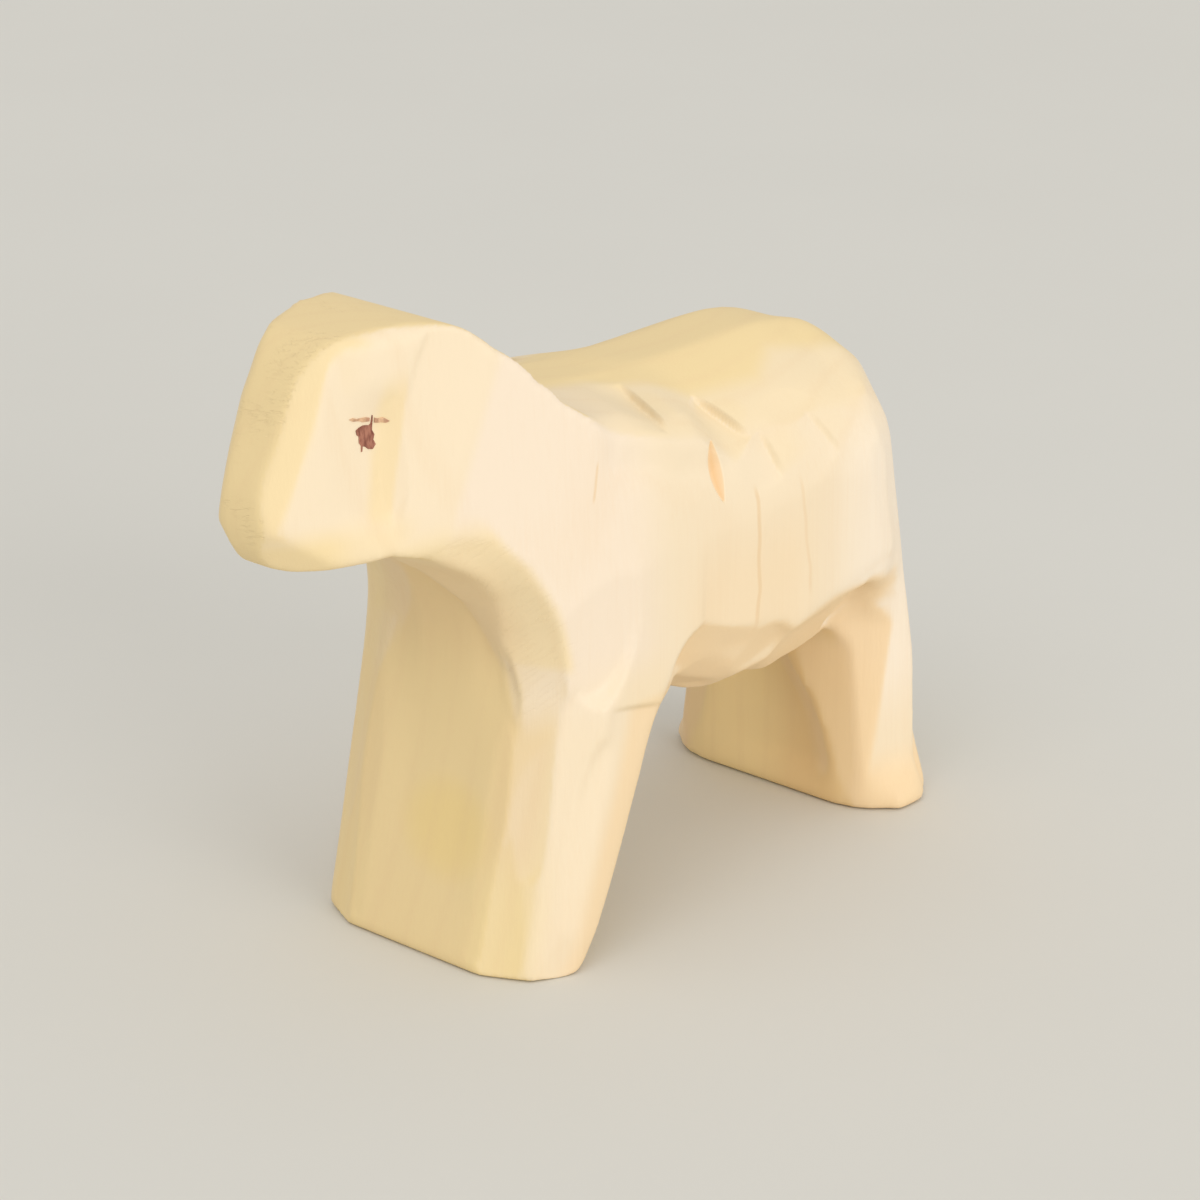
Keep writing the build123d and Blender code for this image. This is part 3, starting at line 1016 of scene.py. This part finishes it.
woodTints = [  # one over the other, in this order
    # painted light: paler neck and shoulder
    ("bright", [(1.0, [("bright",)])]),
    # painted light: the rear flank and hind legs are paler
    ("cream", [(0.9, [("x", -19, -31), ("z", 8, 18), ("z", 50, 42)])]),
    # blush: painted warm bounce light and shade, varied by the blotches
    ("blush", [(1.0, [("warm",), ("blotchy",)])]),
    # golden: partly the sawn board faces, partly painted shade on faces that do not look to the side
    ("golden", [(0.9, [("sawn",)])]),
    ("yellow", [(0.55, [("offPatch", 1.3, 0.1), ("x", 16, 18), ("sawn",)])]),
    # the late-wood colour as painted shade: at the top of the chest under the jaw, and on the bevel down
    # the front leg
    ("late", [(0.35, [("x", 15, 18), ("z", 27, 37), ("z", 47, 43), ("side", 12, 8)]),
              (0.25, [("x", 14, 17), ("side", 6.5, 9.5), ("side", 14, 12), ("z", 8, 14), ("z", 30, 24)])]),
    ("honey", [(0.4, [("x", 8, 12), ("z", 17, 5), ("side", 5, 9), ("side", 15.5, 13)])]),
    ("golden", [(0.7, [("x", 13, 16), ("y", -7, -12), ("z", 47, 42)])]),
    # painted shade in the near part of the hollow between the hind legs
    ("orange", [(0.4, betweenHindLegs + [("y", -4, 6)])]),
    # painted light on the far part of that hollow
    ("apricot", [(0.9, betweenHindLegs + [("y", 4, -5)])]),
    # painted shade on the walls of the stop cuts
    ("endGrain", [(1.0, [("wall",)])]),
]


def woodFinish():
    wood = Finish("paleWood")
    place = wood.place()
    x = wood.add("ShaderNodeSeparateXYZ", None, {0: place})
    y, z = x.other("Y"), x.other("Z")
    axes = {"x": x, "y": y, "z": z, "side": abs(y)}
    for name in ("sawn", "wall", "warm", "bright", "slit", "torn"):
        axes[name] = wood.mark(name)

    dx, dy = x - paleWood["pith"][0], y - paleWood["pith"][1]
    wander = wood.noise(place, paleWood["wanderGrain"]) * paleWood["wander"]
    ring = ((dx * dx + dy * dy).root() + wander) * (2 * math.pi / paleWood["ringGap"])
    late = (ring.sine() * 0.5 + 0.5) ** paleWood["lateSharp"]
    fibre = wood.noise(place, paleWood["fibreGrain"], *fineNoise)
    blotch = wood.noise(place, paleWood["blotchGrain"])
    lines = grainLines(wood, place, axes)
    tear, hatch = tornFibres(wood, place, axes)

    axes["blotchy"] = paleWood["warmLeast"] + blotch * paleWood["warmBlotch"]
    acrossPatch, upPatch = ((value - at) / half for value, at, half
                            in zip((y, z), paleWood["patchMiddle"], paleWood["patchHalf"]))
    axes["offPatch"] = acrossPatch ** 2.0 + upPatch ** 2.0
    colour = paleWood["pale"]
    for name, zones in woodTints:
        colour = wood.mix(shareOf(axes, zones), colour, paleWood[name])
    grown = late * woodShares["late"] + (fibre - 0.5) * woodShares["fibre"]
    colour = wood.mix(grown + (blotch - 0.5) * woodShares["blotch"], colour, paleWood["late"])
    flawed = lines * woodShares["lines"] + hatch * woodShares["hatch"] + tear * woodShares["tear"]
    colour = wood.mix(flawed, colour, paleWood["late"])
    # orange over the slit, deepening along its deepest line as painted shade
    slitRim = axes["slit"].step(*paleWood["slitFade"]) * woodShares["slitRim"]
    colour = wood.mix(slitRim + axes["slit"] * woodShares["slit"], colour, paleWood["orange"])

    rough = woodShares["rough"] + (fibre - 0.5) * woodShares["fibreRough"]
    rough = rough + axes["sawn"] * woodShares["sawnAndShadeRough"]
    grain = wood.bump(fibre - lines * woodShares["lineDepth"], *woodShares["grainBump"])
    torn = 0.0 - tear * woodShares["tearDepth"] - hatch * woodShares["hatchDepth"]
    grain = wood.bump(torn, *woodShares["tearBump"], grain)
    inputs = {"Base Color": colour, "Roughness": rough, "Normal": grain}
    inputs["Specular IOR Level"] = paleWood["shine"]
    return wood.close(inputs)


eyePaint = {
    "dark": (0.20, 0.055, 0.03, 1),
    "light": (0.42, 0.17, 0.105, 1),
    "worn": (0.80, 0.52, 0.30, 1),
    "streakGrain": (3.2, 3.2, 0.9),
    "streakFade": (0.35, 0.65),
    "spotGrain": (1.6, 1.6, 1.6),
    "spotFade": (0.35, 0.62),
    "wornLeast": 0.4,
    "wornGain": 1.5,
    "dabWear": 0.0,
    "lidWear": 0.55,
    "rough": 0.6,
}


def paintFinish(name, wear):
    paint = Finish(name)
    place = paint.place()
    streak = paint.noise(place, eyePaint["streakGrain"], *fineNoise).step(*eyePaint["streakFade"])
    colour = paint.mix(streak, eyePaint["dark"], eyePaint["light"])
    spots = paint.noise(place, eyePaint["spotGrain"]).step(*eyePaint["spotFade"])
    worn = eyePaint["wornLeast"] + spots * (1 - eyePaint["wornLeast"])
    colour = paint.mix(worn * (wear * eyePaint["wornGain"]), colour, eyePaint["worn"])
    return paint.close({"Base Color": colour, "Roughness": eyePaint["rough"]})


# Stage: floor, light and camera

stage = {
    "floorSize": 8.0,  # metres
    "floorColour": (0.74, 0.725, 0.674, 1),
    "floorShade": 0.97,
    "cloudGrain": (0.02, 0.02, 0.02),
    "cloudDetail": 3.0,
    "floorRough": 0.9,
    "floorShine": 0.1,
    "sky": (1.0, 0.99, 0.97, 1),
    "skyStrength": 0.70,
    "aim": (0, 0, 0.03),  # metres
    "keyPlace": (0.35, 3.15, 0.625),  # metres
    "keySize": 2.45,  # metres
    "keyPower": 47.0,
    "fillPlace": (3.3, 1.5, 4.5),  # metres
    "fillSize": 4.8,  # metres
    "fillPower": 63.0,
}

view = {
    "place": (299.59, 269.02, 188.10),
    "right": (-0.66246502, 0.74909285, 0.0),
    "up": (-0.27202488, -0.24056693, 0.93173495),
    "back": (0.69795599, 0.61724181, 0.36313906),
    "lens": 126.0,
    "sensor": 36.0,
    "nearest": 0.01,  # metres
}


def floorFinish():
    floor = Finish("paleFloor")
    cloud = floor.noise(floor.place(), stage["cloudGrain"], stage["cloudDetail"])
    deep = tuple(c * stage["floorShade"] for c in stage["floorColour"][:3]) + (1,)
    colour = floor.mix(cloud, deep, stage["floorColour"])
    inputs = {"Base Color": colour, "Roughness": stage["floorRough"]}
    inputs["Specular IOR Level"] = stage["floorShine"]
    return floor.close(inputs)


def setStage():
    scene = bpy.context.scene
    half = stage["floorSize"] / 2
    mesh = bpy.data.meshes.new("floor")
    corners = [(-half, -half, 0), (half, -half, 0), (half, half, 0), (-half, half, 0)]
    mesh.from_pydata(corners, [], [(0, 1, 2, 3)])
    floor = bpy.data.objects.new("floor", mesh)
    floor.data.materials.append(floorFinish())
    scene.collection.objects.link(floor)

    world = bpy.data.worlds.new("studio")
    world.use_nodes = True
    sky = world.node_tree.nodes["Background"]
    sky.inputs["Color"].default_value = stage["sky"]
    sky.inputs["Strength"].default_value = stage["skyStrength"]
    scene.world = world

    for name in ("key", "fill"):
        lamp = bpy.data.lights.new(name, "AREA")
        lamp.shape = "DISK"
        lamp.size = stage[name + "Size"]
        lamp.energy = stage[name + "Power"]
        light = bpy.data.objects.new(name, lamp)
        light.location = stage[name + "Place"]
        aim = Vector(stage["aim"]) - light.location
        light.rotation_euler = aim.to_track_quat("-Z", "Y").to_euler()
        scene.collection.objects.link(light)

    lens = bpy.data.cameras.new("camera")
    lens.lens = view["lens"]
    lens.sensor_width = view["sensor"]
    lens.clip_start = view["nearest"]
    camera = bpy.data.objects.new("camera", lens)
    columns = Matrix((view["right"], view["up"], view["back"])).transposed()
    camera.matrix_world = Matrix.Translation(Vector(view["place"]) * mm) @ columns.to_4x4()
    scene.collection.objects.link(camera)
    scene.camera = camera
    scene.view_settings.view_transform = "Standard"
    print("stage set")


setStage()
sheep = carveSheep()
dress(sheep, woodFinish(), "carved_body")
dabPaint = paintFinish("eyePaint", eyePaint["dabWear"])
lidPaint = paintFinish("thinEyePaint", eyePaint["lidWear"])
for side, word in ((1, "left"), (-1, "right")):
    dab = paintFilm(word + "EyeDab", [eyeStrokes["dab"]], side, sheep)
    dress(dab, dabPaint, word + "_eye_dab")
    lid = paintFilm(word + "EyeLidLine", [eyeStrokes["lidFront"], eyeStrokes["lidBack"]], side, sheep)
    dress(lid, lidPaint, word + "_eye_lid_line")
print("eyes painted")
